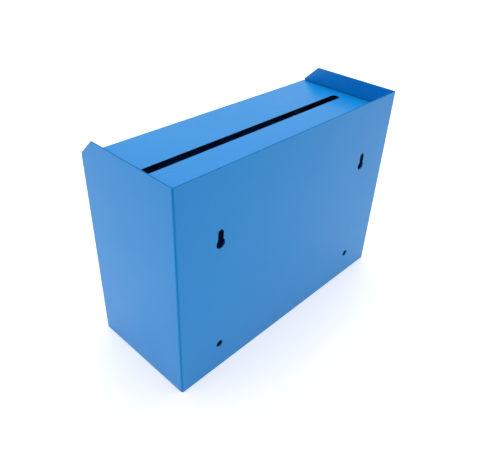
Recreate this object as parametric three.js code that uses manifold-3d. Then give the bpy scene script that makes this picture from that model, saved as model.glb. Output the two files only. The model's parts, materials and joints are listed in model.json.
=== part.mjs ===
// Wall-mounted drop box in folded, powder-coated sheet steel, with a slot in its recessed top and a locking door.
// Millimetres, +Z up. +Y points to the wall and -Y to the user, so the door is on the -Y face.
// The origin is the middle of the underside, halfway between the front and the rear face.
import * as THREE from "three";
import { mergeVertices } from "three/addons/utils/BufferGeometryUtils.js";
import Module from "manifold-3d";

// Folded box
const WIDTH = 248;
const DEPTH = 100;
const HEIGHT = 180;
const SHEET = 1;
const FOLD_RADIUS = 2; // outside of every fold
const SEAM = 0.3; // gap between two sheets that lie face to face
const FLANGE = 10; // turned-in edges of the top and bottom plates, at the sides and rear

// Recessed top, its wings and its slot
const DECK_DROP = 15; // top plate below the upper edge of the walls
const WING_SETBACK = 1.7; // front edge of each wing behind the front face
const CHAMFER_RUN = 14.3; // of the wings' front corners, along Y
const CHAMFER_RISE = 13.2;
const END_SETBACK = 1.2; // front edge of the top plate's ends, beside its rail
const SLOT_LENGTH = 220;
const SLOT_WIDTH = 8;

// Wall fixings in the rear wall
const FIXING_SPACING = 170;
const HOLE_RADIUS = 3;
const HOLE_HEIGHT = 25;
const KEYHOLE_HEIGHT = 122; // middle of the wide end, which lets a screw head in
const KEYHOLE_RADIUS = 4;
const KEYHOLE_NECK = 5; // width of the narrow end
const KEYHOLE_RISE = 9; // from the wide end's middle to the seat of the screw

// Door frame, made by folding the front edge of each side wall in and then back
const STILE = 12; // width of the face beside the door
const RAIL = 14; // front flanges of the top and bottom plates
const RAIL_GAP = 1; // between a rail and the upright edges that stop short of it

// Door
const DOOR_GAP = 1; // on the lock side and under the top rail
const DOOR_FOOT = 2; // lower edge above the underside
const DOOR_FLANGE = 9;
const STOP_LENGTH = 160; // strip behind the top rail, which the closed door rests on
const STOP_LAP = 6; // how far it reaches down behind the door

// Hinge
const PIN_RADIUS = 1;
const PIN_PLAY = 0.1;
const KNUCKLE_RADIUS = 2;
const LEAF = 0.8; // thickness
const BODY_LEAF_WIDTH = 12;
const DOOR_LEAF_WIDTH = 14;
const LEAF_PLAY = 0.1; // between a leaf and the sheet that it is riveted to
const KNUCKLES = 7; // odd, so that both end knuckles belong to the box
const KNUCKLE_PLAY = 0.3;
const RIVETS = 3; // in each leaf
const RIVET_RADIUS = 1.5;
const RIVET_PLAY = 0.1;
const RIVET_HEAD_RADIUS = 2.8;
const RIVET_HEAD = 1;
const RIVET_TAIL_RADIUS = 2.3;
const RIVET_TAIL = 0.8;
const RIVET_INSET = 4; // rivets from a leaf's free edge
const BODY_RIVET_SHIFT = 0.5; // the two rows of rivets are staggered
const DOOR_RIVET_SHIFT = 0.3;

// Cam lock
const LOCK_HEIGHT = 82;
const LOCK_FROM_EDGE = 22; // lock's middle from the door's free edge
const LOCK_HEAD_RADIUS = 11;
const LOCK_HEAD = 3;
const LOCK_HEAD_LEAD = 0.6; // chamfer round the head's front
const BARREL_RADIUS = 9;
const BARREL_FLAT = 8; // each flat from the middle
const BARREL_LENGTH = 15;
const BARREL_PLAY = 0.2;
const PLUG_RADIUS = 6;
const PLUG_HEAD_RADIUS = 7;
const PLUG_HEAD = 1.5;
const PLUG_PLAY = 0.1;
const STACK_PLAY = 0.1; // between pieces clamped on the lock's axis
const NUT_FLATS = 22;
const NUT = 3.5;
const WASHER = 0.6;
const WASHER_RADIUS = 11.5;
const TAIL_RADIUS = 4;
const TAIL_FLAT = 3;
const TAIL_PLAY = 0.1;
const CATCH_PLAY = 0.4; // between the cam and the fold that it catches
const LIMITER = 1; // plate that limits the turn
const LIMITER_RADIUS = 8.5;
const LIMITER_TURN = 90; // degrees between the locked and the open position
const LUG_ANGLE = 20; // degrees that the lug takes up
const LUG_PLAY = 2; // degrees left at each end of the turn
const LUG_DEPTH = 1.4;
const LUG_MARGIN = 0.5; // around the lug
const CAM = 2;
const CAM_WIDTH = 13;
const CAM_HOOK = 7; // how far the cam's end reaches past the strike's edge
const SCREW_RADIUS = 1.9;
const SCREW_LENGTH = 4;
const SCREW_HEAD_RADIUS = 4;
const SCREW_HEAD = 2.4;
const SCREW_WASHER = 0.8;
const SCREW_WASHER_RADIUS = 5;
const SCREW_HEAD_TOP_RADIUS = 2.8;

// Key
const KEY = 2; // thickness
const KEY_BLADE_WIDTH = 7.6;
const KEY_BLADE_LENGTH = 15;
const KEY_PLAY = 0.15;
const KEY_SHOULDER = 2; // bow's start in front of the plug
const KEY_BOW_WIDTH = 22;
const KEY_BOW_LENGTH = 20;
const KEY_RING_RADIUS = 2;
const KEY_CUT = 0.9; // depth of the cuts in the blade
const KEY_CUTS = 4;

const ROUND_STEPS = 48; // facets of a full circle on the lock
const SMALL_STEPS = 20; // on pins and rivets
const FOLD_STEPS = 6; // facets of one fold
const OVERSHOOT = 1; // how far a cutter runs past what it cuts

// Places that follow from the sizes above
const SIDE = WIDTH / 2;
const REAR = DEPTH / 2;
const FRONT = -REAR;
const DECK = HEIGHT - DECK_DROP;
const STILE_TOP = DECK - SHEET - SEAM;
const INNER_SIDE = SIDE - SHEET - SEAM;
const INNER_REAR = REAR - SHEET - SEAM;
const BEHIND = FRONT + SHEET + SEAM; // where a sheet behind the front face starts
const JAMB = SIDE - STILE; // edge of the door opening from the middle
const JAMB_FOOT = RAIL + RAIL_GAP;
const JAMB_TOP = DECK - RAIL - RAIL_GAP;
const HINGE_X = -JAMB + LEAF_PLAY + KNUCKLE_RADIUS;
const HINGE_Y = FRONT + SHEET + LEAF_PLAY + LEAF - KNUCKLE_RADIUS;
const HINGE_FOOT = JAMB_FOOT + KNUCKLE_PLAY;
const HINGE_LENGTH = JAMB_TOP - KNUCKLE_PLAY - HINGE_FOOT;
const DOOR_HINGE_EDGE = HINGE_X + KNUCKLE_RADIUS + KNUCKLE_PLAY;
const DOOR_EDGE = JAMB - DOOR_GAP;
const DOOR_TOP = DECK - RAIL - DOOR_GAP;
const LOCK_X = DOOR_EDGE - LOCK_FROM_EDGE;

// Places on the lock's axis, from the door's outer face inwards
const HEAD_BACK = -STACK_PLAY;
const HEAD_FRONT = HEAD_BACK - LOCK_HEAD;
const WASHER_FRONT = SHEET + STACK_PLAY;
const NUT_FRONT = WASHER_FRONT + WASHER + STACK_PLAY;
const LIMITER_FRONT = BARREL_LENGTH + STACK_PLAY;
const CAM_FRONT = LIMITER_FRONT + LIMITER + STACK_PLAY;
const SCREW_WASHER_FRONT = CAM_FRONT + CAM + STACK_PLAY;
const SCREW_HEAD_FRONT = SCREW_WASHER_FRONT + SCREW_WASHER + STACK_PLAY;
const STRIKE = CAM_FRONT - CATCH_PLAY; // depth of the folded jamb
const CAM_REACH = JAMB + CAM_HOOK - LOCK_X;

const wasm = await Module();
wasm.setup();

const PAINT = new THREE.MeshStandardMaterial({ color: 0x2f8ad6, roughness: 0.4, metalness: 0 });
const NICKEL = new THREE.MeshStandardMaterial({ color: 0xc9c7c0, roughness: 0.25, metalness: 1 });
const ZINC = new THREE.MeshStandardMaterial({ color: 0xa9abad, roughness: 0.4, metalness: 1 });
const BRASS = new THREE.MeshStandardMaterial({ color: 0xb99a55, roughness: 0.35, metalness: 1 });

// ---- solids ----

function solid(geometry) {
  const bare = geometry.index ? geometry.toNonIndexed() : geometry.clone();
  bare.deleteAttribute("normal");
  bare.deleteAttribute("uv");
  const merged = mergeVertices(bare, 1e-4);
  return new wasm.Manifold(
    new wasm.Mesh({
      numProp: 3,
      vertProperties: merged.attributes.position.array,
      triVerts: new Uint32Array(merged.index.array),
    }),
  );
}

function mesh(name, shape, material) {
  const { vertProperties, triVerts } = shape.getMesh();
  const geometry = new THREE.BufferGeometry();
  geometry.setAttribute("position", new THREE.BufferAttribute(vertProperties, 3));
  geometry.setIndex(new THREE.BufferAttribute(triVerts, 1));
  geometry.computeVertexNormals();
  const made = new THREE.Mesh(geometry, material);
  made.name = name;
  return made;
}

const X = new THREE.Vector3(1, 0, 0);
const Y = new THREE.Vector3(0, 1, 0);
const Z = new THREE.Vector3(0, 0, 1);

// Section and length directions of a prism along each axis. The section's points are (y, z), (z, x) or (x, y).
const PRISM_BASIS = { x: [Y, Z, X], y: [Z, X, Y], z: [X, Y, Z] };

// A solid with the given section, from one place to another along an axis.
function prism(axis, points, from, to) {
  const shape = points instanceof THREE.Shape ? points : new THREE.Shape(points);
  const made = new THREE.ExtrudeGeometry(shape, { depth: to - from, bevelEnabled: false });
  made.translate(0, 0, from);
  made.applyMatrix4(new THREE.Matrix4().makeBasis(...PRISM_BASIS[axis]));
  return solid(made);
}

function block(x0, x1, y0, y1, z0, z1) {
  const made = new THREE.BoxGeometry(x1 - x0, y1 - y0, z1 - z0);
  made.translate((x0 + x1) / 2, (y0 + y1) / 2, (z0 + z1) / 2);
  return solid(made);
}

// A round solid on the Y axis. The profile lists [radius, y] from one end of the axis to the other.
function turned(profile, steps = ROUND_STEPS) {
  const points = profile.map(([radius, y]) => new THREE.Vector2(radius, y));
  return solid(new THREE.LatheGeometry(points, steps));
}

function cylinder(radius, from, to, steps = ROUND_STEPS) {
  return turned([[0, from], [radius, from], [radius, to], [0, to]], steps);
}

function arc(x, y, radius, from, to, steps) {
  return Array.from({ length: steps + 1 }, (_, i) => {
    const angle = from + ((to - from) * i) / steps;
    return new THREE.Vector2(x + radius * Math.cos(angle), y + radius * Math.sin(angle));
  });
}

// ---- folded sheet ----

// Section of a sheet whose outer face runs through the points and whose thickness lies on their left.
// Every corner is a right-angled fold to the left.
function foldedSection(points) {
  const path = points.map(([x, y]) => new THREE.Vector2(x, y));
  const left = (a, b) => new THREE.Vector2(a.y - b.y, b.x - a.x).normalize();
  const folds = path.slice(1, -1).map((corner, i) => {
    const before = left(path[i], corner);
    const after = left(corner, path[i + 2]);
    const middle = corner.clone().addScaledVector(before, FOLD_RADIUS).addScaledVector(after, FOLD_RADIUS);
    return { middle, start: Math.atan2(-before.y, -before.x) };
  });
  const face = (radius) =>
    folds.flatMap(({ middle, start }) =>
      arc(middle.x, middle.y, radius, start, start + Math.PI / 2, FOLD_STEPS),
    );
  const offset = (end, from, to) => end.clone().addScaledVector(left(from, to), SHEET);
  const last = path.length - 1;
  return [
    path[0],
    ...face(FOLD_RADIUS),
    path[last],
    offset(path[last], path[last - 1], path[last]),
    ...face(FOLD_RADIUS - SHEET).reverse(),
    offset(path[0], path[0], path[1]),
  ];
}

// Which way is in from each edge of a plate, and along that edge.
const EDGES = {
  left: { inward: X, along: Y.clone().negate() },
  right: { inward: X.clone().negate(), along: Y },
  front: { inward: Y, along: X },
  rear: { inward: Y.clone().negate(), along: X.clone().negate() },
};

// A plate on the XY plane, one sheet thick towards +Z, whose edges are folded up to +Z. Each fold gives its edge,
// its height and where it starts and ends along the edge.
function foldedPlate({ left, right, front, rear }, folds) {
  let plate = block(left, right, front, rear, 0, SHEET);
  const overlap = 2 * FOLD_RADIUS;
  for (const { edge, height, from, to } of folds) {
    const { inward, along } = EDGES[edge];
    const corner = new THREE.Vector3(
      inward.x ? (inward.x > 0 ? left : right) : along.x > 0 ? from : to,
      inward.y ? (inward.y > 0 ? front : rear) : along.y > 0 ? from : to,
      0,
    );
    const placed = new THREE.Matrix4().makeBasis(inward, Z, along).setPosition(corner);
    const length = to - from;
    const strip = new THREE.BoxGeometry(FOLD_RADIUS + OVERSHOOT, SHEET + 2 * OVERSHOOT, length);
    strip.translate((FOLD_RADIUS - OVERSHOOT) / 2, SHEET / 2, length / 2);
    const section = foldedSection([[0, height], [0, 0], [overlap, 0]]);
    const flange = new THREE.ExtrudeGeometry(new THREE.Shape(section), { depth: length, bevelEnabled: false });
    plate = plate.subtract(solid(strip.applyMatrix4(placed))).add(solid(flange.applyMatrix4(placed)));
  }
  return plate;
}

// ---- box ----

// A cutter on the Y axis that goes through one sheet.
function sheetCutter(radius, steps = ROUND_STEPS) {
  return cylinder(radius, -OVERSHOOT, SHEET + OVERSHOOT, steps);
}

function keyholeCutter() {
  const neck = KEYHOLE_NECK / 2;
  const run = block(-neck, neck, -OVERSHOOT, SHEET + OVERSHOOT, 0, KEYHOLE_RISE);
  return sheetCutter(KEYHOLE_RADIUS).add(sheetCutter(neck).translate([0, 0, KEYHOLE_RISE])).add(run);
}

// Rear wall, side walls and the uprights of the door frame in one sheet.
function bodyWrap() {
  const wingFront = FRONT + WING_SETBACK;
  const framed = foldedSection([
    [JAMB, FRONT + STRIKE], [JAMB, FRONT], [SIDE, FRONT], [SIDE, REAR],
    [-SIDE, REAR], [-SIDE, FRONT], [-JAMB, FRONT], [-JAMB, FRONT + STRIKE],
  ]);
  const walls = foldedSection([[SIDE, wingFront], [SIDE, REAR], [-SIDE, REAR], [-SIDE, wingFront]]);
  let wrap = prism("z", framed, 0, STILE_TOP).add(prism("z", walls, STILE_TOP - OVERSHOOT, HEIGHT));

  // The folded jambs stop short of the rails.
  const notch = JAMB + FOLD_RADIUS;
  for (const [low, high] of [[-OVERSHOOT, JAMB_FOOT], [JAMB_TOP, DECK]]) {
    wrap = wrap.subtract(block(-notch, notch, FRONT - OVERSHOOT, FRONT + STRIKE + OVERSHOOT, low, high));
  }

  const slope = CHAMFER_RISE / CHAMFER_RUN;
  const ahead = wingFront - OVERSHOOT;
  const chamfer = [
    new THREE.Vector2(ahead, HEIGHT - CHAMFER_RISE - slope * OVERSHOOT),
    new THREE.Vector2(wingFront + CHAMFER_RUN + OVERSHOOT, HEIGHT + slope * OVERSHOOT),
    new THREE.Vector2(ahead, HEIGHT + slope * OVERSHOOT),
  ];
  wrap = wrap.subtract(prism("x", chamfer, -SIDE - OVERSHOOT, SIDE + OVERSHOOT));

  for (const x of [-FIXING_SPACING / 2, FIXING_SPACING / 2]) {
    wrap = wrap
      .subtract(keyholeCutter().translate([x, REAR - SHEET, KEYHOLE_HEIGHT]))
      .subtract(sheetCutter(HOLE_RADIUS).translate([x, REAR - SHEET, HOLE_HEIGHT]));
  }
  for (const height of rivetHeights(BODY_RIVET_SHIFT)) {
    wrap = wrap.subtract(acrossX(rivetHole(), -JAMB, BODY_RIVET_Y, height));
  }
  return wrap;
}

// A plate across the box with its side and rear edges folded in and a rail folded in at its front edge.
function endPlate(front, railHalf) {
  const outline = { left: -INNER_SIDE, right: INNER_SIDE, front, rear: INNER_REAR };
  const corner = FOLD_RADIUS + SHEET;
  const sides = { height: FLANGE, from: BEHIND + corner, to: INNER_REAR - corner };
  const plate = foldedPlate(outline, [
    { edge: "front", height: RAIL, from: -railHalf, to: railHalf },
    { edge: "rear", height: FLANGE, from: corner - INNER_SIDE, to: INNER_SIDE - corner },
    { edge: "left", ...sides },
    { edge: "right", ...sides },
  ]);
  const relief = INNER_SIDE - FOLD_RADIUS;
  const end = INNER_REAR - FOLD_RADIUS;
  return plate
    .subtract(block(relief, SIDE, end, REAR, -OVERSHOOT, SHEET + OVERSHOOT))
    .subtract(block(-SIDE, -relief, end, REAR, -OVERSHOOT, SHEET + OVERSHOOT));
}

// The top plate covers the uprights and its rail is flush with them.
function topPlate() {
  const end = (SLOT_LENGTH - SLOT_WIDTH) / 2;
  const round = SLOT_WIDTH / 2;
  const half = Math.PI / 2;
  const outline = [
    ...arc(end, 0, round, -half, half, ROUND_STEPS / 4),
    ...arc(-end, 0, round, half, 3 * half, ROUND_STEPS / 4),
  ];
  const rail = JAMB + FOLD_RADIUS - SEAM;
  const back = FRONT + END_SETBACK;
  return endPlate(FRONT, rail)
    .subtract(prism("z", outline, -OVERSHOOT, SHEET + OVERSHOOT))
    .subtract(block(rail, SIDE, FRONT - OVERSHOOT, back, -OVERSHOOT, SHEET + OVERSHOOT))
    .subtract(block(-SIDE, -rail, FRONT - OVERSHOOT, back, -OVERSHOOT, SHEET + OVERSHOOT))
    .mirror([0, 0, 1])
    .translate([0, 0, DECK]);
}

// The bottom plate stands behind the uprights, and the closed door rests on its rail.
function bottomPlate() {
  return endPlate(BEHIND, INNER_SIDE - FOLD_RADIUS);
}

function doorStop() {
  const half = STOP_LENGTH / 2;
  return block(-half, half, BEHIND, BEHIND + SHEET, DOOR_TOP - STOP_LAP, DECK - FOLD_RADIUS - SHEET);
}

// ---- door ----

function doorPanel() {
  const section = foldedSection([
    [DOOR_HINGE_EDGE, FRONT], [DOOR_EDGE, FRONT], [DOOR_EDGE, FRONT + DOOR_FLANGE],
  ]);
  const relief = DOOR_EDGE - FOLD_RADIUS;
  const deep = FRONT + DOOR_FLANGE + OVERSHOOT;
  let door = prism("z", section, DOOR_FOOT, DOOR_TOP)
    .subtract(block(relief, SIDE, FRONT - OVERSHOOT, deep, DOOR_FOOT - OVERSHOOT, JAMB_FOOT))
    .subtract(onLockAxis(doubleD(BARREL_RADIUS + BARREL_PLAY, BARREL_FLAT + BARREL_PLAY, -OVERSHOOT, FOLD_RADIUS)));
  for (const height of rivetHeights(DOOR_RIVET_SHIFT)) {
    door = door.subtract(rivetHole().translate([DOOR_RIVET_X, FRONT, height]));
  }
  return door;
}

// ---- hinge ----

const BODY_RIVET_Y = HINGE_Y + BODY_LEAF_WIDTH - RIVET_INSET;
const DOOR_RIVET_X = HINGE_X + DOOR_LEAF_WIDTH - RIVET_INSET;

function rivetHeights(shift) {
  return Array.from({ length: RIVETS }, (_, i) => HINGE_FOOT + (HINGE_LENGTH * (i + shift)) / RIVETS);
}

// A leaf whose pin is on the Z axis. It leaves the knuckles along +X with its outer face at +Y. It has every other
// knuckle, from the one numbered `first`.
function hingeLeaf(first, width, shift) {
  const pitch = HINGE_LENGTH / KNUCKLES;
  const clear = KNUCKLE_RADIUS + KNUCKLE_PLAY;
  const inside = KNUCKLE_RADIUS - LEAF;
  const top = HINGE_FOOT + HINGE_LENGTH;
  let leaf = block(clear, width, inside, KNUCKLE_RADIUS, HINGE_FOOT, top);
  const ring = new THREE.Shape(arc(0, 0, KNUCKLE_RADIUS, 0, 2 * Math.PI, SMALL_STEPS).slice(1));
  ring.holes.push(new THREE.Path(arc(0, 0, PIN_RADIUS + PIN_PLAY, 0, 2 * Math.PI, SMALL_STEPS).slice(1)));
  for (let i = first; i < KNUCKLES; i += 2) {
    const low = HINGE_FOOT + i * pitch + (i > 0 ? KNUCKLE_PLAY / 2 : 0);
    const high = HINGE_FOOT + (i + 1) * pitch - (i < KNUCKLES - 1 ? KNUCKLE_PLAY / 2 : 0);
    leaf = leaf.add(prism("z", ring, low, high)).add(block(0, clear + LEAF, inside, KNUCKLE_RADIUS, low, high));
  }
  for (const height of rivetHeights(shift)) {
    leaf = leaf.subtract(rivetHole().translate([width - RIVET_INSET, inside, height]));
  }
  return leaf;
}

function bodyLeaf() {
  return hingeLeaf(0, BODY_LEAF_WIDTH, BODY_RIVET_SHIFT).rotate([0, 0, 90]).translate([HINGE_X, HINGE_Y, 0]);
}

function doorLeaf() {
  return hingeLeaf(1, DOOR_LEAF_WIDTH, DOOR_RIVET_SHIFT).translate([HINGE_X, HINGE_Y, 0]);
}

function hingePin() {
  return cylinder(PIN_RADIUS, 0, HINGE_LENGTH, SMALL_STEPS)
    .rotate([90, 0, 0])
    .translate([HINGE_X, HINGE_Y, HINGE_FOOT]);
}

function rivetHole() {
  return cylinder(RIVET_RADIUS + RIVET_PLAY, -2 * FOLD_RADIUS, 2 * FOLD_RADIUS, SMALL_STEPS);
}

// A solid on the Y axis turned to lie on an axis along X.
function acrossX(shape, x, y, z) {
  return shape.rotate([0, 0, -90]).translate([x, y, z]);
}

// A rivet on the Y axis through a sheet and a leaf, with its domed head at -Y.
function rivet() {
  const tail = SHEET + LEAF_PLAY + LEAF + RIVET_PLAY;
  const dome = arc(0, 0, 1, -Math.PI / 2, 0, 4).map((p) => [
    p.x * RIVET_HEAD_RADIUS,
    p.y * RIVET_HEAD - RIVET_PLAY,
  ]);
  return turned(
    [
      ...dome, [RIVET_RADIUS, -RIVET_PLAY], [RIVET_RADIUS, tail], [RIVET_TAIL_RADIUS, tail],
      [RIVET_TAIL_RADIUS, tail + RIVET_TAIL / 2], [RIVET_RADIUS, tail + RIVET_TAIL], [0, tail + RIVET_TAIL],
    ],
    SMALL_STEPS,
  );
}

// ---- lock, on the Y axis with y = 0 on the door's outer face ----

function onLockAxis(shape) {
  return shape.translate([LOCK_X, FRONT, LOCK_HEIGHT]);
}

// A cylinder with a flat above and below.
function doubleD(radius, flat, from, to) {
  const side = radius + OVERSHOOT;
  return cylinder(radius, from, to).intersect(block(-side, side, from, to, -flat, flat));
}

// A sector of a ring. Its angles are in degrees from +Z towards +X.
function ringSector(inner, outer, from, to, y0, y1) {
  const radians = Math.PI / 180;
  const outline = [
    ...arc(0, 0, outer, from * radians, to * radians, 12),
    ...arc(0, 0, inner, from * radians, to * radians, 12).reverse(),
  ];
  return prism("y", outline, y0, y1);
}

// The lug points up while the lock is open and turns to the hinge side as the cam swings to the strike.
function lockHousing() {
  const shell = turned([
    [0, HEAD_FRONT], [LOCK_HEAD_RADIUS - LOCK_HEAD_LEAD, HEAD_FRONT],
    [LOCK_HEAD_RADIUS, HEAD_FRONT + LOCK_HEAD_LEAD],
    [LOCK_HEAD_RADIUS, HEAD_BACK], [0, HEAD_BACK],
  ]);
  const bore = PLUG_RADIUS + PLUG_PLAY;
  const seat = HEAD_FRONT + PLUG_HEAD + PLUG_PLAY;
  const half = LUG_ANGLE / 2 + LUG_PLAY;
  const deep = BARREL_LENGTH - LUG_DEPTH - STACK_PLAY;
  return shell
    .add(doubleD(BARREL_RADIUS, BARREL_FLAT, HEAD_BACK - STACK_PLAY, BARREL_LENGTH))
    .subtract(cylinder(bore, HEAD_FRONT - OVERSHOOT, BARREL_LENGTH + OVERSHOOT))
    .subtract(cylinder(PLUG_HEAD_RADIUS + PLUG_PLAY, HEAD_FRONT - OVERSHOOT, seat))
    .subtract(ringSector(bore - LUG_MARGIN, BARREL_RADIUS + OVERSHOOT, -LIMITER_TURN - half, half, deep,
      BARREL_LENGTH + OVERSHOOT));
}

function lockWasher() {
  return cylinder(WASHER_RADIUS, WASHER_FRONT, WASHER_FRONT + WASHER).subtract(
    doubleD(BARREL_RADIUS + BARREL_PLAY, BARREL_FLAT + BARREL_PLAY, 0, NUT_FRONT),
  );
}

function lockNut() {
  const corner = NUT_FLATS / Math.sqrt(3);
  const outline = arc(0, 0, corner, 0, 2 * Math.PI, 6).slice(1);
  return prism("y", outline, NUT_FRONT, NUT_FRONT + NUT).subtract(
    cylinder(BARREL_RADIUS + BARREL_PLAY, 0, NUT_FRONT + NUT + OVERSHOOT),
  );
}

function lockPlug() {
  const tailEnd = CAM_FRONT + CAM - STACK_PLAY;
  const screwEnd = SCREW_HEAD_FRONT - SCREW_LENGTH;
  const keyHalf = KEY / 2 + KEY_PLAY;
  const bladeHalf = KEY_BLADE_WIDTH / 2 + KEY_PLAY;
  return turned([
    [0, HEAD_FRONT], [PLUG_HEAD_RADIUS, HEAD_FRONT], [PLUG_HEAD_RADIUS, HEAD_FRONT + PLUG_HEAD],
    [PLUG_RADIUS, HEAD_FRONT + PLUG_HEAD], [PLUG_RADIUS, BARREL_LENGTH], [0, BARREL_LENGTH],
  ])
    .add(doubleD(TAIL_RADIUS, TAIL_FLAT, BARREL_LENGTH - STACK_PLAY, tailEnd))
    .subtract(cylinder(SCREW_RADIUS + TAIL_PLAY, screwEnd - STACK_PLAY, tailEnd + OVERSHOOT, SMALL_STEPS))
    .subtract(block(-keyHalf, keyHalf, HEAD_FRONT - OVERSHOOT, HEAD_FRONT + KEY_BLADE_LENGTH + KEY_PLAY,
      -bladeHalf, bladeHalf));
}

function tailHole(from, to) {
  return doubleD(TAIL_RADIUS + TAIL_PLAY, TAIL_FLAT + TAIL_PLAY, from, to);
}

function turnLimiter() {
  const half = LUG_ANGLE / 2;
  const lug = ringSector(PLUG_RADIUS + LUG_MARGIN, LIMITER_RADIUS - LUG_MARGIN, -half, half,
    LIMITER_FRONT - LUG_DEPTH, LIMITER_FRONT + LIMITER / 2);
  return cylinder(LIMITER_RADIUS, LIMITER_FRONT, LIMITER_FRONT + LIMITER)
    .add(lug)
    .subtract(tailHole(0, CAM_FRONT));
}

// The open cam hangs down.
function cam() {
  const half = CAM_WIDTH / 2;
  const corner = CAM_WIDTH / 4;
  const quarter = Math.PI / 2;
  const outline = [
    ...arc(0, 0, half, -quarter, quarter, ROUND_STEPS / 2),
    ...arc(corner - CAM_REACH, half - corner, corner, quarter, 2 * quarter, 6),
    ...arc(corner - CAM_REACH, corner - half, corner, 2 * quarter, 3 * quarter, 6),
  ];
  return prism("y", outline, CAM_FRONT, CAM_FRONT + CAM).subtract(tailHole(0, SCREW_WASHER_FRONT));
}

function camWasher() {
  return cylinder(SCREW_WASHER_RADIUS, SCREW_WASHER_FRONT, SCREW_WASHER_FRONT + SCREW_WASHER).subtract(
    cylinder(SCREW_RADIUS + TAIL_PLAY, 0, SCREW_HEAD_FRONT, SMALL_STEPS),
  );
}

function camScrew() {
  const back = SCREW_HEAD_FRONT + SCREW_HEAD;
  const slot = SCREW_HEAD / 2;
  const recess = block(-slot / 2, slot / 2, back - slot, back + OVERSHOOT, -SCREW_RADIUS, SCREW_RADIUS);
  return turned([
    [0, SCREW_HEAD_FRONT - SCREW_LENGTH], [SCREW_RADIUS, SCREW_HEAD_FRONT - SCREW_LENGTH],
    [SCREW_RADIUS, SCREW_HEAD_FRONT], [SCREW_HEAD_RADIUS, SCREW_HEAD_FRONT],
    [SCREW_HEAD_RADIUS, SCREW_HEAD_FRONT + SCREW_HEAD / 2], [SCREW_HEAD_TOP_RADIUS, back], [0, back],
  ])
    .subtract(recess)
    .subtract(recess.rotate([0, 90, 0]));
}

// The section's points are (z, y), drawn with the tip of the blade towards +y, so the extrusion runs along X.
function key() {
  const half = KEY_BLADE_WIDTH / 2;
  const tip = HEAD_FRONT + KEY_BLADE_LENGTH;
  const bowFront = HEAD_FRONT - KEY_SHOULDER;
  const bite = KEY_BLADE_LENGTH / (KEY_CUTS + 2);
  const cuts = Array.from({ length: KEY_CUTS }, (_, i) => tip - bite * (i + 1)).flatMap((y) => [
    [y + bite / 3, -half], [y, KEY_CUT - half], [y - bite / 3, -half],
  ]);
  const blade = [
    [bowFront - OVERSHOOT, half], [tip - half, half], [tip, half / 3], [tip, -half / 3], [tip - bite / 2, -half],
    ...cuts, [bowFront - OVERSHOOT, -half],
  ].map(([y, z]) => new THREE.Vector2(y, z));
  const corner = KEY_BOW_LENGTH / 4;
  const wide = KEY_BOW_WIDTH / 2 - corner;
  const near = bowFront - corner;
  const far = bowFront - KEY_BOW_LENGTH + corner;
  const quarter = Math.PI / 2;
  const bow = [
    ...arc(near, wide, corner, 0, quarter, 8), ...arc(far, wide, corner, quarter, 2 * quarter, 8),
    ...arc(far, -wide, corner, 2 * quarter, 3 * quarter, 8), ...arc(near, -wide, corner, 3 * quarter, 4 * quarter, 8),
  ];
  const ring = arc(far, 0, KEY_RING_RADIUS, 0, 2 * Math.PI, SMALL_STEPS).slice(1);
  return prism("x", blade.reverse(), -KEY / 2, KEY / 2)
    .add(prism("x", bow, -KEY / 2, KEY / 2))
    .subtract(prism("x", ring, -KEY, KEY));
}

// ---- assembly ----

const group = new THREE.Group();

function place(name, shape, material) {
  group.add(mesh(name, shape, material));
}

place("body_wrap", bodyWrap(), PAINT);
place("top_plate", topPlate(), PAINT);
place("bottom_plate", bottomPlate(), PAINT);
place("door_stop", doorStop(), PAINT);
place("door_panel", doorPanel(), PAINT);
place("hinge_leaf_body", bodyLeaf(), ZINC);
place("hinge_leaf_door", doorLeaf(), ZINC);
place("hinge_pin", hingePin(), ZINC);
rivetHeights(BODY_RIVET_SHIFT).forEach((height, i) => {
  place(`rivet_body_${i + 1}`, acrossX(rivet(), -JAMB - SHEET, BODY_RIVET_Y, height), ZINC);
});
rivetHeights(DOOR_RIVET_SHIFT).forEach((height, i) => {
  place(`rivet_door_${i + 1}`, rivet().translate([DOOR_RIVET_X, FRONT, height]), ZINC);
});
place("lock_housing", onLockAxis(lockHousing()), NICKEL);
place("lock_washer", onLockAxis(lockWasher()), ZINC);
place("lock_nut", onLockAxis(lockNut()), ZINC);
place("lock_plug", onLockAxis(lockPlug()), BRASS);
place("turn_limiter", onLockAxis(turnLimiter()), ZINC);
place("lock_cam", onLockAxis(cam()), ZINC);
place("cam_washer", onLockAxis(camWasher()), ZINC);
place("cam_screw", onLockAxis(camScrew()), ZINC);
place("key", onLockAxis(key()), NICKEL);

export default group;
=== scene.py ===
"""A wall-mounted drop box in blue powder-coated sheet steel: finer meshes, materials, light and camera.

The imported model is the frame. Each piece here replaces one node of it and has the same size and place.
"""
import json
import math

import bmesh
import bpy
from mathutils import Matrix, Vector
from mathutils.bvhtree import BVHTree

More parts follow.
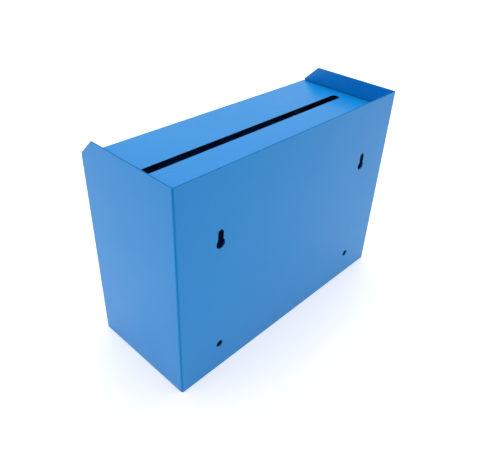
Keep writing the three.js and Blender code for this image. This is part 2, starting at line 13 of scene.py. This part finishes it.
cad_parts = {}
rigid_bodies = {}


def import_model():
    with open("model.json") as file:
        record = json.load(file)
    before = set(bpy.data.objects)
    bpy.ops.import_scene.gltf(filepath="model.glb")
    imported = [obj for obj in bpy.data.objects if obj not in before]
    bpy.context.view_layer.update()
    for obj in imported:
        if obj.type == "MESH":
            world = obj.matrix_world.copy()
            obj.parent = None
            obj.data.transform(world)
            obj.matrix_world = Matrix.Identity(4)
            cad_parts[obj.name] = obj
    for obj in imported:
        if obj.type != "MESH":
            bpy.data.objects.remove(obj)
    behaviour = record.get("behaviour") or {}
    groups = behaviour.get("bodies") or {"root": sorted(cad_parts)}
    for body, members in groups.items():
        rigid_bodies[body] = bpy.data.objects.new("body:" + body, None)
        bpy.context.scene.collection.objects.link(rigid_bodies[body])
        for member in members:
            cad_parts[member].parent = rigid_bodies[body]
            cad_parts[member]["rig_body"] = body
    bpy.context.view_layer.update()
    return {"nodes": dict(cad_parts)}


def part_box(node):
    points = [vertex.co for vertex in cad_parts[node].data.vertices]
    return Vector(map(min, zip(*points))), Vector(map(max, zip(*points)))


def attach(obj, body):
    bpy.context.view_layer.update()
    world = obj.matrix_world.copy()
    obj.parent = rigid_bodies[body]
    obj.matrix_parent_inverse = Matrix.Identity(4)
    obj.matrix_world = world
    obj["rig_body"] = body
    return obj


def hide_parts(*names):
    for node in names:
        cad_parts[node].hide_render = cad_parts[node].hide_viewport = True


MM = 0.001

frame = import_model()

# ---- sizes in millimetres, the same as the model's ----

SHEET = 1
SIDE = 124
REAR = 50
DECK = 165  # the top plate's upper face
FOLD_RADIUS = 2
FIXING_X = 85  # keyholes and round holes, either side of the middle
KEYHOLE_Z = (116, 135)
KEYHOLE_REACH = 5
HOLE_Z = (21, 29)
HOLE_REACH = 4
SLOT_HALF_LENGTH = 111
SLOT_HALF_WIDTH = 4.5
WALL_DEPTH = 1.2 * SHEET  # how deep in a face a hole's wall may lie
SKIN = 0.6  # how far below the outside the inside starts
DOOR_SKIN = 1.6
EDGE_ROUNDING = 0.1

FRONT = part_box("door_panel")[0].y / MM
HINGE_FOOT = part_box("hinge_pin")[0].z / MM
HINGE_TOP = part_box("hinge_pin")[1].z / MM
HINGE_X = (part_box("hinge_pin")[0].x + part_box("hinge_pin")[1].x) / 2 / MM
HINGE_Y = (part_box("hinge_pin")[0].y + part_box("hinge_pin")[1].y) / 2 / MM
KNUCKLE_RADIUS = 2
PIN_RADIUS = 1
LEAF = 0.8
KNUCKLES = 7
KNUCKLE_PLAY = 0.3
BODY_LEAF_WIDTH = 12
DOOR_LEAF_WIDTH = 14
KNUCKLE_SWEEP = 322  # degrees that a knuckle wraps round the pin
RIVETS = 3  # in each leaf
RIVET_INSET = 4
BODY_RIVET_SHIFT = 0.5  # the two rows are staggered
DOOR_RIVET_SHIFT = 0.3
RIVET_RADIUS = 1.5
RIVET_HEAD_RADIUS = 2.8
RIVET_HEAD = 1
RIVET_GRIP = 1.9
RIVET_PLAY = 0.1
RIVET_TAIL = 0.8
RIVET_TAIL_RADIUS = 2.3
MANDREL_RADIUS = 0.7
MANDREL_DEPTH = 0.35

LOCK_X = (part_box("lock_washer")[0].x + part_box("lock_washer")[1].x) / 2 / MM
LOCK_Z = (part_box("lock_washer")[0].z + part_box("lock_washer")[1].z) / 2 / MM
# Stations along the lock's axis run inwards from the door's face.
HEAD_FRONT = -3.1
HEAD_BACK = -0.1
HEAD_RADIUS = 11
BARREL_RADIUS = 9
BARREL_FLAT = 8
BARREL_END = 15
THREAD_PITCH = 1
THREAD_DEPTH = 0.45
BORE = 6.1
SEAT_RADIUS = 7.1
SEAT_DEPTH = 1.6
PLUG_RADIUS = 6
PLUG_HEAD_RADIUS = 7
TAIL_END = 18.1
TAIL_RADIUS = 4
TAIL_FLAT = 3
KEYWAY_HALF = 1.15
KEYWAY_HALF_HEIGHT = 3.95
KEYWAY_LENGTH = 15.15
TAPPING_RADIUS = 2
NUT = (1.8, 5.3)
NUT_FLATS = 22
NUT_BORE = 9.2
NUT_LEAD = 1.1
NUT_CHAMFER = 0.6
SCREW_HEAD = (19.2, 21.6)
SCREW_RADIUS = 1.9
SCREW_LENGTH = 4
SCREW_HEAD_RADIUS = 4
RECESS_DEPTH = 1.3
RECESS_HALF = 0.5
KEY_HALF = 1
GROOVE_DEPTH = 0.35
GROOVE = (0.4, 1.9)
FINE_STEPS = 96

# ---- mesh helpers ----


def grid_solid(rings, closed_profile=False):
    """A mesh from rings of equal length. Open ends are capped."""
    bm = bmesh.new()
    rows = [[bm.verts.new(Vector(p) * MM) for p in ring] for ring in rings]
    count = len(rows[0])
    pairs = list(zip(rows, rows[1:]))
    if closed_profile:
        pairs.append((rows[-1], rows[0]))
    for a, b in pairs:
        for i in range(count):
            j = (i + 1) % count
            bm.faces.new((a[i], a[j], b[j], b[i]))
    if not closed_profile:
        bm.faces.new(list(reversed(rows[0])))
        bm.faces.new(rows[-1])
    bmesh.ops.recalc_face_normals(bm, faces=bm.faces)
    return bm


def ring(radius, y, steps, flat=None):
    """A circle round the Y axis. A flat limits its half height, as on a double-D shaft."""
    points = []
    for i in range(steps):
        angle = 2 * math.pi * i / steps
        z = radius * math.sin(angle)
        if flat is not None and radius > flat:
            z = max(-flat, min(flat, z))
        points.append((radius * math.cos(angle), y, z))
    return points


def lathe(profile, steps=72, flat=None):
    """A solid on the Y axis from (radius, y) pairs.

    A profile that starts and ends on the axis makes a shaft, and any other closes on itself."""
    on_axis = profile[0][0] == 0
    inner = profile[1:-1] if on_axis else profile
    return grid_solid([ring(radius, y, steps, flat) for radius, y in inner], closed_profile=not on_axis)


def prism(points, axis, low, high):
    """A solid with a section of (x, y) or (x, z) points, from low to high along the z or y axis left over."""
    place = {
        "z": lambda p, h: (p[0], p[1], h),
        "y": lambda p, h: (p[0], h, p[1]),
    }[axis]
    return grid_solid([[place(p, low) for p in points], [place(p, high) for p in points]])


def block(x0, x1, y0, y1, z0, z1):
    return prism([(x0, y0), (x1, y0), (x1, y1), (x0, y1)], "z", z0, z1)


def circle(x, y, radius, steps, start=0, sweep=360):
    count = steps if sweep == 360 else steps + 1
    return [
        (
            x + radius * math.cos(math.radians(start + sweep * i / steps)),
            y + radius * math.sin(math.radians(start + sweep * i / steps)),
        )
        for i in range(count)
    ]


def moved(bm, x=0, y=0, z=0, turn=None):
    if turn is not None:
        bmesh.ops.transform(bm, matrix=turn, verts=bm.verts)
    bmesh.ops.translate(bm, vec=Vector((x, y, z)) * MM, verts=bm.verts)
    return bm


def on_lock(bm):
    return moved(bm, LOCK_X, FRONT, LOCK_Z)


def scratch_object(bm):
    mesh = bpy.data.meshes.new("scratch")
    bm.to_mesh(mesh)
    bm.free()
    obj = bpy.data.objects.new("scratch", mesh)
    bpy.context.scene.collection.objects.link(obj)
    return obj


def combined(bm, others, operation="DIFFERENCE"):
    """The first mesh with the others cut from it or joined to it."""
    obj = scratch_object(bm)
    cutters = [scratch_object(other) for other in others]
    for cutter in cutters:
        modifier = obj.modifiers.new("cut", "BOOLEAN")
        modifier.object = cutter
        modifier.operation = operation
        modifier.solver = "EXACT"
    bpy.context.view_layer.update()
    mesh = bpy.data.meshes.new_from_object(obj.evaluated_get(bpy.context.evaluated_depsgraph_get()))
    made = bmesh.new()
    made.from_mesh(mesh)
    for old in [obj, *cutters]:
        data = old.data
        bpy.data.objects.remove(old)
        bpy.data.meshes.remove(data)
    bpy.data.meshes.remove(mesh)
    return made


def rounded(bm, offset, segments=2, angle=35):
    """Rounds every sharp edge and returns the faces that it makes.

    A corner that would poke out is drawn back onto the surface."""
    bmesh.ops.remove_doubles(bm, verts=bm.verts, dist=0.001 * MM)
    bmesh.ops.dissolve_limit(bm, angle_limit=math.radians(0.5), verts=bm.verts, edges=bm.edges)
    before = BVHTree.FromBMesh(bm)
    limit = math.radians(angle)
    sharp = [e for e in bm.edges if len(e.link_faces) == 2 and e.calc_face_angle(0) > limit]
    made = bmesh.ops.bevel(
        bm,
        geom=sharp,
        offset=offset * MM,
        segments=segments,
        profile=0.5,
        affect="EDGES",
        clamp_overlap=False,
    )
    for vertex in made["verts"]:
        place, normal, _, distance = before.find_nearest(vertex.co)
        outside = (vertex.co - place).dot(normal) > 0.01 * MM
        if outside or distance > offset * MM:
            vertex.co = place
    return set(made["faces"])


def piece(name, bm, node, materials):
    """A finished piece that rides with its node's body and stands for the node."""
    mesh = bpy.data.meshes.new(name)
    bm.to_mesh(mesh)
    bm.free()
    for material in materials:
        mesh.materials.append(material)
    mesh.polygons.foreach_set("use_smooth", [True] * len(mesh.polygons))
    mesh.set_sharp_from_angle(angle=math.radians(50))
    obj = bpy.data.objects.new(name, mesh)
    bpy.context.scene.collection.objects.link(obj)
    weighted = obj.modifiers.new("weighted", "WEIGHTED_NORMAL")
    weighted.keep_sharp = True
    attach(obj, frame["nodes"][node]["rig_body"])
    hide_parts(node)
    return obj


# ---- materials ----


def new_material(name, base, roughness, metallic=0.0):
    material = bpy.data.materials.new(name)
    material.use_nodes = True
    shader = material.node_tree.nodes["Principled BSDF"]
    shader.inputs["Base Color"].default_value = (*base, 1)
    shader.inputs["Roughness"].default_value = roughness
    shader.inputs["Metallic"].default_value = metallic
    return material, material.node_tree, shader


def noise(tree, scale, detail=2.0, stretch=None):
    """Noise in object space. The scale is in cells per metre."""
    coordinates = tree.nodes.new("ShaderNodeTexCoord")
    texture = tree.nodes.new("ShaderNodeTexNoise")
    texture.inputs["Scale"].default_value = scale
    texture.inputs["Detail"].default_value = detail
    source = coordinates.outputs["Object"]
    if stretch:
        mapping = tree.nodes.new("ShaderNodeMapping")
        mapping.inputs["Scale"].default_value = stretch
        tree.links.new(source, mapping.inputs["Vector"])
        source = mapping.outputs["Vector"]
    tree.links.new(source, texture.inputs["Vector"])
    return texture.outputs["Fac"]


def ramp(tree, source, low, high, to_low, to_high):
    node = tree.nodes.new("ShaderNodeMapRange")
    node.inputs["From Min"].default_value = low
    node.inputs["From Max"].default_value = high
    node.inputs["To Min"].default_value = to_low
    node.inputs["To Max"].default_value = to_high
    tree.links.new(source, node.inputs["Value"])
    return node.outputs["Result"]


def blend_colours(tree, factor, a, b):
    node = tree.nodes.new("ShaderNodeMix")
    node.data_type = "RGBA"
    node.inputs[6].default_value = (*a, 1)
    node.inputs[7].default_value = (*b, 1)
    tree.links.new(factor, node.inputs[0])
    return node.outputs[2]


def bump(tree, shader, height, strength, distance):
    node = tree.nodes.new("ShaderNodeBump")
    node.inputs["Strength"].default_value = strength
    node.inputs["Distance"].default_value = distance * MM
    tree.links.new(height, node.inputs["Height"])
    tree.links.new(node.outputs["Normal"], shader.inputs["Normal"])


def add_heights(tree, a, b, share):
    node = tree.nodes.new("ShaderNodeMath")
    node.operation = "MULTIPLY_ADD"
    tree.links.new(b, node.inputs[0])
    node.inputs[1].default_value = share
    tree.links.new(a, node.inputs[2])
    return node.outputs["Value"]


def powder_coat(name, base, deeper, roughness, shine=0.28):
    """Powder coat: a fine orange peel, slow changes of tone and an uneven gloss."""
    material, tree, shader = new_material(name, base, roughness)
    tone = ramp(tree, noise(tree, 22, 1), 0.1, 0.9, 0, 1)
    tree.links.new(blend_colours(tree, tone, base, deeper), shader.inputs["Base Color"])
    shader.inputs["Specular IOR Level"].default_value = shine
    gloss = ramp(tree, noise(tree, 60, 1), 0.1, 0.9, roughness - 0.04, roughness + 0.06)
    tree.links.new(gloss, shader.inputs["Roughness"])
    peel = add_heights(tree, noise(tree, 700, 1), noise(tree, 1900, 2), 0.3)
    bump(tree, shader, peel, 0.2, 0.01)
    return material


def brushed(name, base, lighter, roughness, stretch):
    """Plated or turned metal with fine lines."""
    material, tree, shader = new_material(name, base, roughness, 1.0)
    tone = ramp(tree, noise(tree, 120, 3), 0.3, 0.7, 0, 1)
    tree.links.new(blend_colours(tree, tone, base, lighter), shader.inputs["Base Color"])
    lines = noise(tree, 900, 3, stretch)
    gloss = ramp(tree, lines, 0.3, 0.7, roughness - 0.06, roughness + 0.08)
    tree.links.new(gloss, shader.inputs["Roughness"])
    bump(tree, shader, lines, 0.12, 0.02)
    return material


COAT = powder_coat("powder_coat", (0.0008, 0.284, 0.755), (0.0008, 0.272, 0.73), 0.3)
# Upright folds: a darker, duller blue, painted shade for folds that turn away from the light.
COAT_BEND_PAINTED_SHADE = powder_coat("powder_coat_bend_painted_shade", (0.0005, 0.225, 0.6), (0.0005, 0.215, 0.58), 0.4, 0.1)
# Cut edges: a darker, duller blue, partly the thinner coat on a sheared edge and partly painted shade for the
# dark line along the edges.
COAT_EDGE_THIN_AND_SHADED = powder_coat("powder_coat_edge_thin_coat_and_painted_shade", (0.0005, 0.2, 0.54), (0.0005, 0.18, 0.5), 0.55, 0.05)
# Inside faces: a much darker blue, painted shade for the dark inside of the closed box.
COAT_INSIDE_PAINTED_SHADE = powder_coat("powder_coat_inside_painted_shade", (0.0008, 0.13, 0.36), (0.0008, 0.12, 0.34), 0.45, 0.15)
# Walls of the holes and the slot: near-black, painted shadow for the dark inside seen through them.
HOLE_WALL_PAINTED_SHADOW = powder_coat("hole_wall_painted_shadow", (0.001, 0.006, 0.016), (0.001, 0.004, 0.012), 0.6, 0.05)
ZINC = brushed("zinc_plate", (0.56, 0.57, 0.58), (0.64, 0.65, 0.66), 0.34, (1, 1, 0.15))
CHROME = brushed("lock_chrome", (0.78, 0.78, 0.77), (0.82, 0.82, 0.81), 0.16, (1, 1, 1))
BRASS = brushed("plug_brass", (0.66, 0.5, 0.24), (0.72, 0.56, 0.3), 0.28, (1, 0.2, 1))
NICKEL = brushed("key_nickel", (0.68, 0.66, 0.62), (0.74, 0.72, 0.68), 0.27, (1, 0.2, 1))
SHEET_MATERIALS = [COAT, COAT_EDGE_THIN_AND_SHADED, COAT_INSIDE_PAINTED_SHADE, HOLE_WALL_PAINTED_SHADOW, COAT_BEND_PAINTED_SHADE]
EDGE, INSIDE, WALL, BEND = 1, 2, 3, 4  # places in the list above


# ---- sheet metal ----


# Where the painted shadow on the walls of holes and the slot goes.
def is_hole_wall(centre):
    x, y, z = centre / MM
    from_fixing = abs(abs(x) - FIXING_X)
    near_keyhole = from_fixing < KEYHOLE_REACH and KEYHOLE_Z[0] < z < KEYHOLE_Z[1]
    near_hole = from_fixing < HOLE_REACH and HOLE_Z[0] < z < HOLE_Z[1]
    in_rear_wall = y > REAR - WALL_DEPTH and (near_keyhole or near_hole)
    in_slot = abs(y) < SLOT_HALF_WIDTH and abs(x) < SLOT_HALF_LENGTH
    in_deck = DECK - WALL_DEPTH < z < DECK + 0.1
    return in_rear_wall or (in_slot and in_deck)


# Where the painted shade of the inside goes.
def is_inside(centre):
    x, y, z = centre / MM
    return abs(x) < SIDE - SKIN and FRONT + DOOR_SKIN < y < REAR - SKIN and SKIN < z < DECK - SKIN


def is_bend(face):
    """On one of the wall's upright folds, outside the box. These faces take the painted shade of the folds.
    """
    x, y, _ = face.calc_center_median() / MM
    at_corner = abs(x) > SIDE - FOLD_RADIUS and abs(y) > REAR - FOLD_RADIUS
    return at_corner and min(abs(face.normal.x), abs(face.normal.y)) > 0.5


def is_cut_edge(face, rounding):
    """A face of the rounding, or the narrow strip between two roundings of a cut edge.

    A strip's area is half its width times its outline, and the rounding runs along most of that outline."""
    if face in rounding:
        return True
    around = sum(edge.calc_length() for edge in face.edges)
    beside = sum(
        edge.calc_length()
        for edge in face.edges
        if any(other in rounding for other in edge.link_faces if other is not face)
    )
    narrow = face.calc_area() < 0.45 * SHEET * MM * around
    return narrow and beside > 0.45 * around


def split_at_deck(bm):
    """Parts the walls' inner faces from the wings above the deck, so that each can have its own material."""
    height = Vector((0, 0, (DECK - SHEET / 2) * MM))
    whole = [*bm.verts, *bm.edges, *bm.faces]
    bmesh.ops.bisect_plane(bm, geom=whole, plane_co=height, plane_no=(0, 0, 1), dist=0.0001 * MM)


def sheet_piece(name, node):
    """A node's sheet with rounded cut edges and a material for each kind of face. The cut edges, the folds,
    the inside and the walls of holes get darker blues for painted shade.
    """
    bm = bmesh.new()
    bm.from_mesh(frame["nodes"][node].data)
    rounding = rounded(bm, EDGE_ROUNDING, 3)
    low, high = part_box(node)
    for vertex in bm.verts:
        vertex.co = [min(max(value, a), b) for value, a, b in zip(vertex.co, low, high)]
    for face in bm.faces:
        # Cut edges take the darker blue: thinner coat and painted shade.
        face.material_index = EDGE if is_cut_edge(face, rounding) else 0
    split_at_deck(bm)
    for face in bm.faces:
        centre = face.calc_center_median()
        # Walls of holes and the slot take the painted shadow.
        if face.material_index and is_hole_wall(centre):
            face.material_index = WALL
        # Inside faces take the painted shade.
        elif is_inside(centre):
            face.material_index = INSIDE
        elif not face.material_index and is_bend(face):
            face.material_index = BEND
    return piece(name, bm, node, SHEET_MATERIALS)


sheet_piece("wall_sheet", "body_wrap")
sheet_piece("top_sheet", "top_plate")
sheet_piece("bottom_sheet", "bottom_plate")
sheet_piece("stop_strip", "door_stop")
sheet_piece("door_sheet", "door_panel")

# ---- hinge ----


def rivet_heights(shift):
    return [HINGE_FOOT + (HINGE_TOP - HINGE_FOOT) * (i + shift) / RIVETS for i in range(RIVETS)]


def knuckle_section():
    """A leaf's end rolled round its pin, with the small gap that rolling leaves."""
    outer = circle(0, 0, KNUCKLE_RADIUS, 40, 90, KNUCKLE_SWEEP)
    inner = circle(0, 0, KNUCKLE_RADIUS - LEAF, 40, 90, KNUCKLE_SWEEP)
    root = KNUCKLE_RADIUS + KNUCKLE_PLAY + LEAF
    return [(root, KNUCKLE_RADIUS), *outer, *reversed(inner), (root, KNUCKLE_RADIUS - LEAF)]


def hinge_leaf(first, width, shift):
    """A leaf with every other knuckle, counted from the first, and its row of rivet holes."""
    clear = KNUCKLE_RADIUS + KNUCKLE_PLAY
    pitch = (HINGE_TOP - HINGE_FOOT) / KNUCKLES
    plate = block(clear, width, KNUCKLE_RADIUS - LEAF, KNUCKLE_RADIUS, HINGE_FOOT, HINGE_TOP)
    wide = RIVET_RADIUS + RIVET_PLAY
    holes = []
    for height in rivet_heights(shift):
        hole = lathe([(0, -3), (wide, -3), (wide, 3), (0, 3)], 32)
        holes.append(moved(hole, width - RIVET_INSET, KNUCKLE_RADIUS, height))
    plate = combined(plate, holes)
    knuckles = []
    for i in range(first, KNUCKLES, 2):
        low = HINGE_FOOT + i * pitch + (KNUCKLE_PLAY / 2 if i else 0)
        high = HINGE_FOOT + (i + 1) * pitch - (KNUCKLE_PLAY / 2 if i < KNUCKLES - 1 else 0)
        knuckles.append(prism(knuckle_section(), "z", low, high))
    leaf = combined(plate, knuckles, "UNION")
    rounded(leaf, 0.1, 2)
    return leaf


quarter_turn = Matrix.Rotation(math.radians(90), 4, "Z")
body_leaf = moved(hinge_leaf(0, BODY_LEAF_WIDTH, BODY_RIVET_SHIFT), HINGE_X, HINGE_Y, 0, quarter_turn)
door_leaf = moved(hinge_leaf(1, DOOR_LEAF_WIDTH, DOOR_RIVET_SHIFT), HINGE_X, HINGE_Y, 0)
piece("body_hinge_leaf", body_leaf, "hinge_leaf_body", [ZINC])
piece("door_hinge_leaf", door_leaf, "hinge_leaf_door", [ZINC])


def pin():
    """A pin with lightly staked, rounded ends."""
    low, high, r = HINGE_FOOT, HINGE_TOP, PIN_RADIUS
    rings = [
        (0.45, low), (0.8, low + 0.1), (r, low + 0.35),
        (r, high - 0.35), (0.8, high - 0.1), (0.45, high),
    ]
    return grid_solid([[(x, y, z) for x, y in circle(HINGE_X, HINGE_Y, s * r, 32)] for s, z in rings])


piece("pin_of_hinge", pin(), "hinge_pin", [ZINC])


def rivet():
    """A blind rivet: a domed head with the hollow that its mandrel leaves, and a spread tail."""
    dome = []
    for angle in (70, 60, 48, 36, 24, 12, 0):
        across = RIVET_HEAD_RADIUS * math.cos(math.radians(angle))
        out = RIVET_HEAD * math.sin(math.radians(angle))
        dome.append((across, -RIVET_PLAY - out))
    tail = RIVET_GRIP + RIVET_PLAY
    profile = [
        (0, -MANDREL_DEPTH), (MANDREL_RADIUS, -MANDREL_DEPTH),
        (MANDREL_RADIUS + 0.05, -RIVET_PLAY - 0.9 * RIVET_HEAD), *dome,
        (RIVET_RADIUS, -RIVET_PLAY), (RIVET_RADIUS, tail), (RIVET_TAIL_RADIUS, tail),
        (RIVET_TAIL_RADIUS, tail + RIVET_TAIL / 2), (RIVET_RADIUS, tail + RIVET_TAIL), (0, tail + RIVET_TAIL),
    ]
    made = lathe(profile, 40)
    rounded(made, 0.06, 2)
    return made


along_x = Matrix.Rotation(math.radians(-90), 4, "Z")
for number, height in enumerate(rivet_heights(BODY_RIVET_SHIFT), 1):
    body_rivet_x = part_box("hinge_leaf_body")[0].x / MM - RIVET_PLAY - SHEET
    body_rivet = moved(rivet(), body_rivet_x, HINGE_Y + BODY_LEAF_WIDTH - RIVET_INSET, height, along_x)
    piece(f"body_rivet_{number}", body_rivet, f"rivet_body_{number}", [ZINC])
for number, height in enumerate(rivet_heights(DOOR_RIVET_SHIFT), 1):
    door_rivet = moved(rivet(), HINGE_X + DOOR_LEAF_WIDTH - RIVET_INSET, FRONT, height)
    piece(f"door_rivet_{number}", door_rivet, f"rivet_door_{number}", [ZINC])

# ---- lock ----


def thread_ring(y):
    """One ring of the barrel's thread, between its two flats."""
    points = []
    for i in range(FINE_STEPS):
        phase = (y / THREAD_PITCH - i / FINE_STEPS) % 1
        radius = BARREL_RADIUS - THREAD_DEPTH * abs(2 * phase - 1)
        angle = 2 * math.pi * i / FINE_STEPS
        z = max(-BARREL_FLAT, min(BARREL_FLAT, radius * math.sin(angle)))
        points.append((radius * math.cos(angle), y, z))
    return points


def housing():
    """The lock's case: a chamfered head, a threaded barrel with two flats, and a notch for the turn stop."""
    rows = 8  # in each turn of the thread
    root = BARREL_RADIUS - THREAD_DEPTH
    head = [
        (BORE, BARREL_END), (BORE, HEAD_FRONT + SEAT_DEPTH), (SEAT_RADIUS, HEAD_FRONT + SEAT_DEPTH),
        (SEAT_RADIUS, HEAD_FRONT + 0.15), (SEAT_RADIUS + 0.15, HEAD_FRONT), (HEAD_RADIUS - 1.2, HEAD_FRONT),
        (HEAD_RADIUS - 0.5, HEAD_FRONT + 0.15), (HEAD_RADIUS - 0.1, HEAD_FRONT + 0.6),
        (HEAD_RADIUS, HEAD_FRONT + 1), (HEAD_RADIUS, HEAD_BACK - 0.2), (HEAD_RADIUS - 0.2, HEAD_BACK),
    ]
    rings = [ring(radius, y, FINE_STEPS) for radius, y in head]
    rings += [ring(root, y, FINE_STEPS, BARREL_FLAT) for y in (HEAD_BACK, SHEET + 0.2)]
    start = SHEET + 0.5
    count = int((BARREL_END - 0.4 - start) / THREAD_PITCH * rows)
    rings += [thread_ring(start + row * THREAD_PITCH / rows) for row in range(count + 1)]
    rings.append([(x * 0.9, BARREL_END, z * 0.9) for x, _, z in rings[-1]])
    shell = grid_solid(rings, closed_profile=True)
    notch = [*circle(0, 0, 5.6, 12, 78, 114), *reversed(circle(0, 0, 10, 12, 78, 114))]
    return combined(shell, [prism(notch, "y", BARREL_END - 1.5, BARREL_END + 1)])


def plug():
    """The plug: a head, a body with its keyway, and a double-D tail with a tapped hole."""
    seat = HEAD_FRONT + 1.5
    profile = [
        (0, HEAD_FRONT), (PLUG_HEAD_RADIUS - 0.25, HEAD_FRONT), (PLUG_HEAD_RADIUS, HEAD_FRONT + 0.25),
        (PLUG_HEAD_RADIUS, seat), (PLUG_RADIUS, seat), (PLUG_RADIUS, BARREL_END),
        (0, BARREL_END),
    ]
    tail = [
        (0, BARREL_END - 0.5), (TAIL_RADIUS, BARREL_END - 0.5), (TAIL_RADIUS, TAIL_END - 0.2),
        (TAIL_RADIUS - 0.2, TAIL_END), (0, TAIL_END),
    ]
    body = combined(lathe(profile, FINE_STEPS), [lathe(tail, 48, TAIL_FLAT)], "UNION")
    keyway = block(
        -KEYWAY_HALF, KEYWAY_HALF, HEAD_FRONT - 1, HEAD_FRONT + KEYWAY_LENGTH,
        -KEYWAY_HALF_HEIGHT, KEYWAY_HALF_HEIGHT,
    )
    mouth = [(-1.6, HEAD_FRONT - 0.01), (1.6, HEAD_FRONT - 0.01), (0, HEAD_FRONT + 1.6)]
    lead_in = prism(mouth, "z", -4.3, 4.3)
    tapped = lathe([(0, 14.9), (TAPPING_RADIUS, 14.9), (TAPPING_RADIUS, 20), (0, 20)], 32)
    made = combined(body, [keyway, lead_in, tapped])
    rounded(made, 0.05, 2, 50)
    return made


def nut():
    """A hexagon nut with chamfered corners. Each ring is a circle cut back to the flats."""
    low, high = NUT
    corner = NUT_FLATS / math.sqrt(3)
    profile = [
        (NUT_BORE, high), (NUT_BORE, low), (corner - NUT_LEAD, low), (corner, low + NUT_CHAMFER),
        (corner, high - NUT_CHAMFER), (corner - NUT_LEAD, high),
    ]
    rings = []
    for radius, y in profile:
        points = []
        for i in range(FINE_STEPS):
            angle = 2 * math.pi * i / FINE_STEPS
            from_flat = (angle + math.pi / 6) % (math.pi / 3) - math.pi / 6
            reach = min(radius, NUT_FLATS / 2 / math.cos(from_flat))
            points.append((reach * math.cos(angle), y, reach * math.sin(angle)))
        rings.append(points)
    return grid_solid(rings, closed_profile=True)


def softened_copy(node, radius):
    bm = bmesh.new()
    bm.from_mesh(frame["nodes"][node].data)
    rounded(bm, radius, 3)
    return bm


def screw():
    """The cam's screw, with a domed head and a cross recess."""
    low, high = SCREW_HEAD
    tip = low - SCREW_LENGTH
    profile = [
        (0, tip), (SCREW_RADIUS - 0.3, tip), (SCREW_RADIUS, tip + 0.3), (SCREW_RADIUS, low),
        (SCREW_HEAD_RADIUS, low), (SCREW_HEAD_RADIUS, low + 1), (3.8, low + 1.5),
        (3.2, low + 2), (2.2, high - 0.08), (0, high),
    ]
    floor = high - RECESS_DEPTH
    cross = [
        block(-RECESS_HALF, RECESS_HALF, floor, high + 1, -SCREW_RADIUS, SCREW_RADIUS),
        block(-SCREW_RADIUS, SCREW_RADIUS, floor, high + 1, -RECESS_HALF, RECESS_HALF),
    ]
    made = combined(lathe(profile, 48), cross)
    rounded(made, 0.06, 2, 50)
    return made


def key():
    """The key, with rounded edges and a groove milled along each side of its blade."""
    made = bmesh.new()
    made.from_mesh(frame["nodes"]["key"].data)
    grooves = []
    for side in (-1, 1):
        edges = sorted((side * (KEY_HALF + 0.5), side * (KEY_HALF - GROOVE_DEPTH)))
        grooves.append(on_lock(block(*edges, HEAD_FRONT - 1.2, HEAD_FRONT + 15.5, *GROOVE)))
    made = combined(made, grooves)
    rounded(made, 0.12, 2)
    return made


piece("housing_of_lock", on_lock(housing()), "lock_housing", [CHROME])
piece("plug_of_lock", on_lock(plug()), "lock_plug", [BRASS])
piece("nut_of_lock", on_lock(nut()), "lock_nut", [ZINC])
piece("washer_of_lock", softened_copy("lock_washer", 0.1), "lock_washer", [ZINC])
piece("turn_stop_plate", softened_copy("turn_limiter", 0.1), "turn_limiter", [ZINC])
piece("cam_of_lock", softened_copy("lock_cam", 0.25), "lock_cam", [ZINC])
piece("washer_of_cam", softened_copy("cam_washer", 0.12), "cam_washer", [ZINC])
piece("screw_of_cam", on_lock(screw()), "cam_screw", [ZINC])
piece("key_in_lock", key(), "key", [NICKEL])

# ---- floor, light and camera ----


def add_floor():
    bm = bmesh.new()
    bmesh.ops.create_grid(bm, x_segments=1, y_segments=1, size=6)
    mesh = bpy.data.meshes.new("floor")
    bm.to_mesh(mesh)
    bm.free()
    material, _, shader = new_material("floor", (0.8, 0.8, 0.8), 0.9)
    shader.inputs["Emission Color"].default_value = (1, 1, 1, 1)
    shader.inputs["Emission Strength"].default_value = 0.5
    mesh.materials.append(material)
    floor = bpy.data.objects.new("floor", mesh)
    bpy.context.scene.collection.objects.link(floor)


def add_softbox(name, place, size, power):
    data = bpy.data.lights.new(name, "AREA")
    data.shape = "RECTANGLE"
    data.size, data.size_y = size
    data.energy = power
    light = bpy.data.objects.new(name, data)
    bpy.context.scene.collection.objects.link(light)
    light.location = place
    light.rotation_euler = (Vector((0, 0, 0.1)) - Vector(place)).to_track_quat("-Z", "Y").to_euler()


def add_world(strength):
    world = bpy.data.worlds.new("studio")
    bpy.context.scene.world = world
    world.use_nodes = True
    background = world.node_tree.nodes["Background"]
    background.inputs["Color"].default_value = (1, 1, 1, 1)
    background.inputs["Strength"].default_value = strength


CAMERA_AZIMUTH = math.radians(131.863)
CAMERA_ELEVATION = math.radians(34.154)
CAMERA_ROLL = math.radians(2.915)
CAMERA_DISTANCE = 425.7 * MM
CAMERA_TARGET = Vector((19.08, 16.52, 90)) * MM
CAMERA_LENS = 37.067


def add_camera():
    az, el, roll = CAMERA_AZIMUTH, CAMERA_ELEVATION, CAMERA_ROLL
    back = Vector((math.sin(az) * math.cos(el), -math.cos(az) * math.cos(el), math.sin(el)))
    right = Vector((0, 0, 1)).cross(back).normalized()
    up = back.cross(right)
    across = right * math.cos(roll) + up * math.sin(roll)
    upward = up * math.cos(roll) - right * math.sin(roll)
    data = bpy.data.cameras.new("camera")
    data.lens = CAMERA_LENS
    data.sensor_width = 36
    data.clip_start = 0.01
    camera = bpy.data.objects.new("camera", data)
    bpy.context.scene.collection.objects.link(camera)
    turn = Matrix((across, upward, back)).transposed().to_4x4()
    camera.matrix_world = Matrix.Translation(CAMERA_TARGET + back * CAMERA_DISTANCE) @ turn
    bpy.context.scene.camera = camera


add_floor()
add_world(0.36)
add_softbox("overhead", (-0.3, -0.3, 1.6), (1.8, 1.8), 20)
add_softbox("rim", (-1.5, -1.35, 1.5), (2, 2), 7)
add_softbox("side", (1.8, -0.9, 0.9), (1.2, 1.2), 4.5)
add_camera()
bpy.context.scene.view_settings.view_transform = "Standard"
